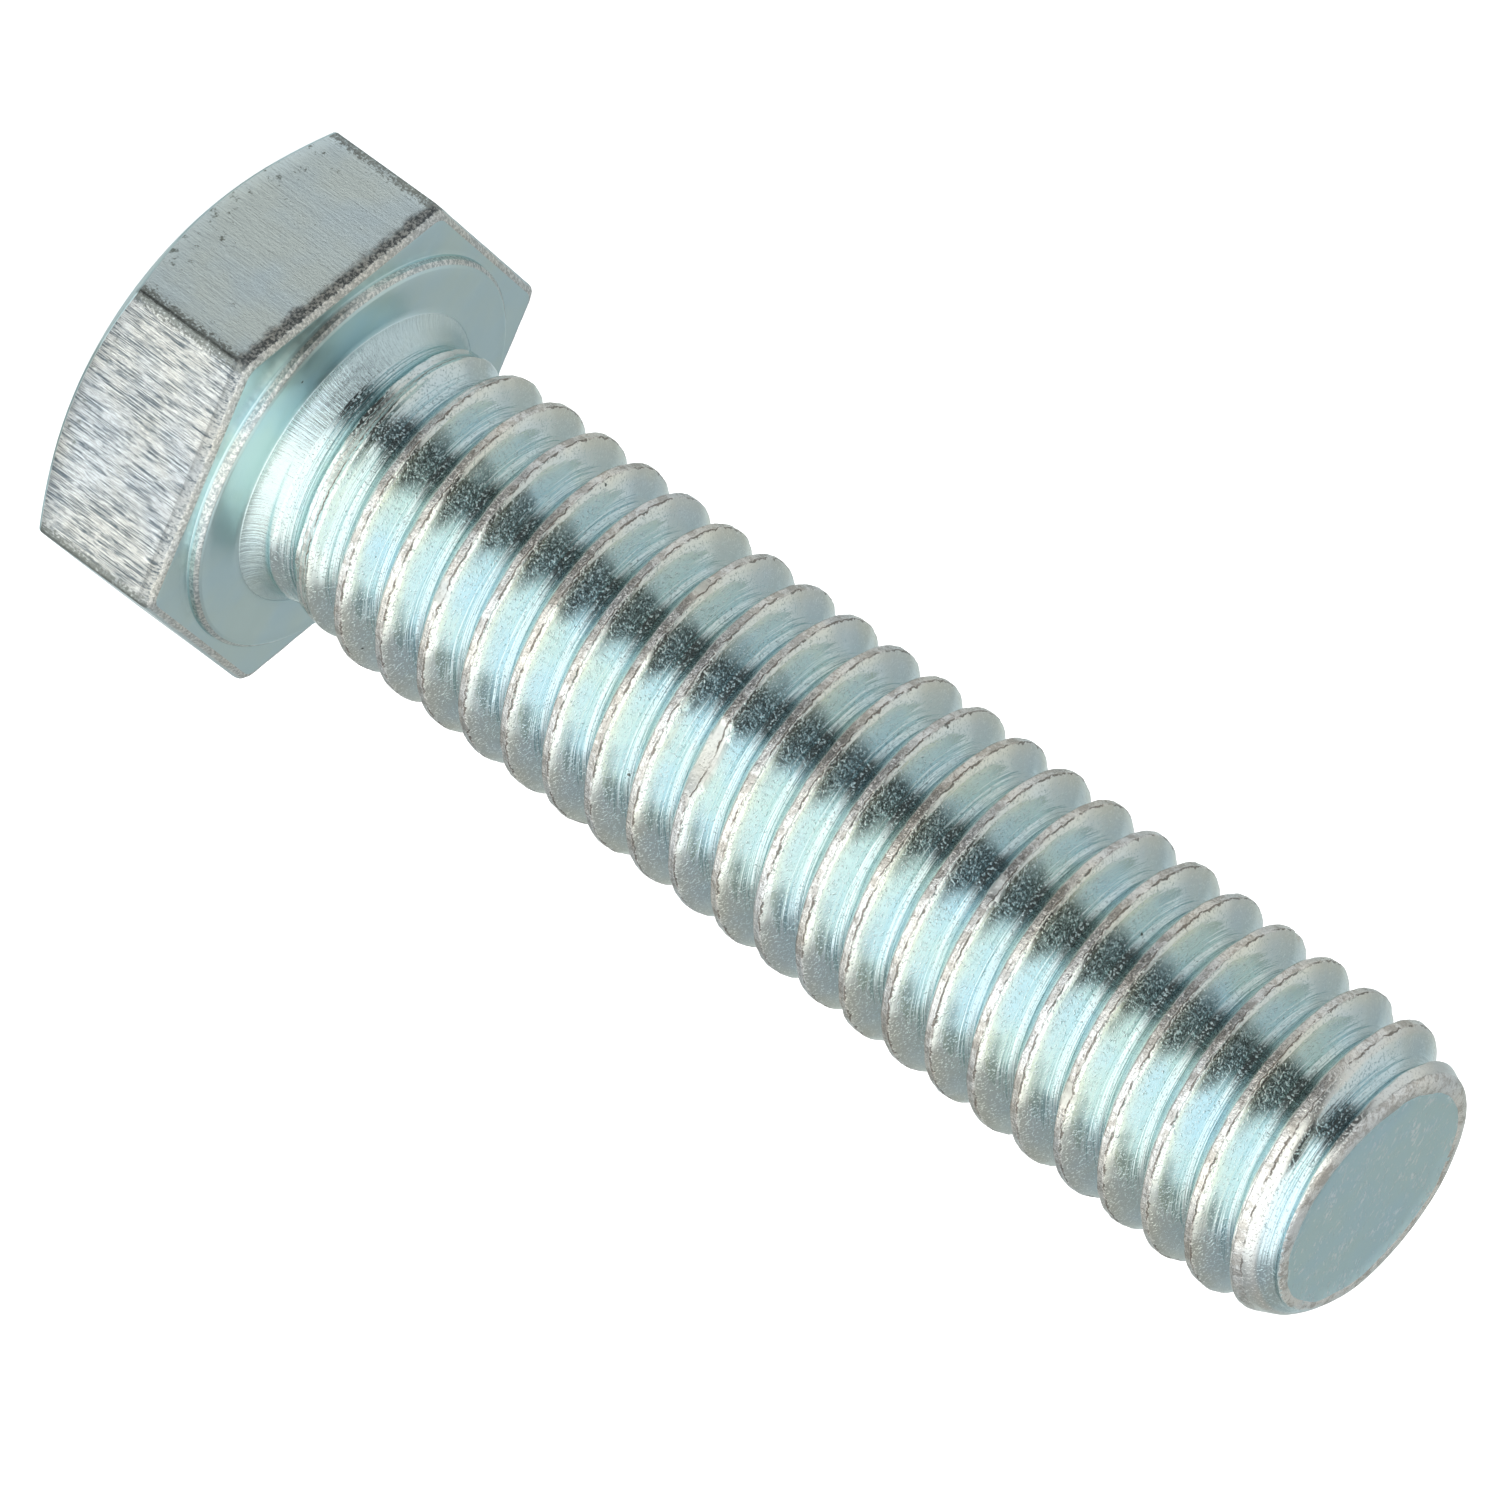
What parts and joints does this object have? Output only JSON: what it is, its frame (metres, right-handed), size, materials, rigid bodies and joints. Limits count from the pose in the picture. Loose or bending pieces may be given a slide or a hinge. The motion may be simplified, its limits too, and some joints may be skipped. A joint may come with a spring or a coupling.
{
  "type": "hex bolt",
  "caption": "Fully threaded hex bolt of bright zinc plated steel, with a chamfered hexagon head, a raised washer face and a bevelled point.",
  "frame": {"origin": "centre of the flat top of the head, on which the bolt stands", "axes": "+Z along the shank from the top of the head to the point; +X through a corner of the hexagon; +Y square to a wrench flat"},
  "size_m": [0.0162, 0.014, 0.0435],
  "materials": {
    "zinc_plated_steel": "bright zinc plate with a clear blue passivate, satin on the head's flats"
  },
  "bodies": {
    "root": {"hex_bolt": "zinc_plated_steel"}
  },
  "joints": []
}
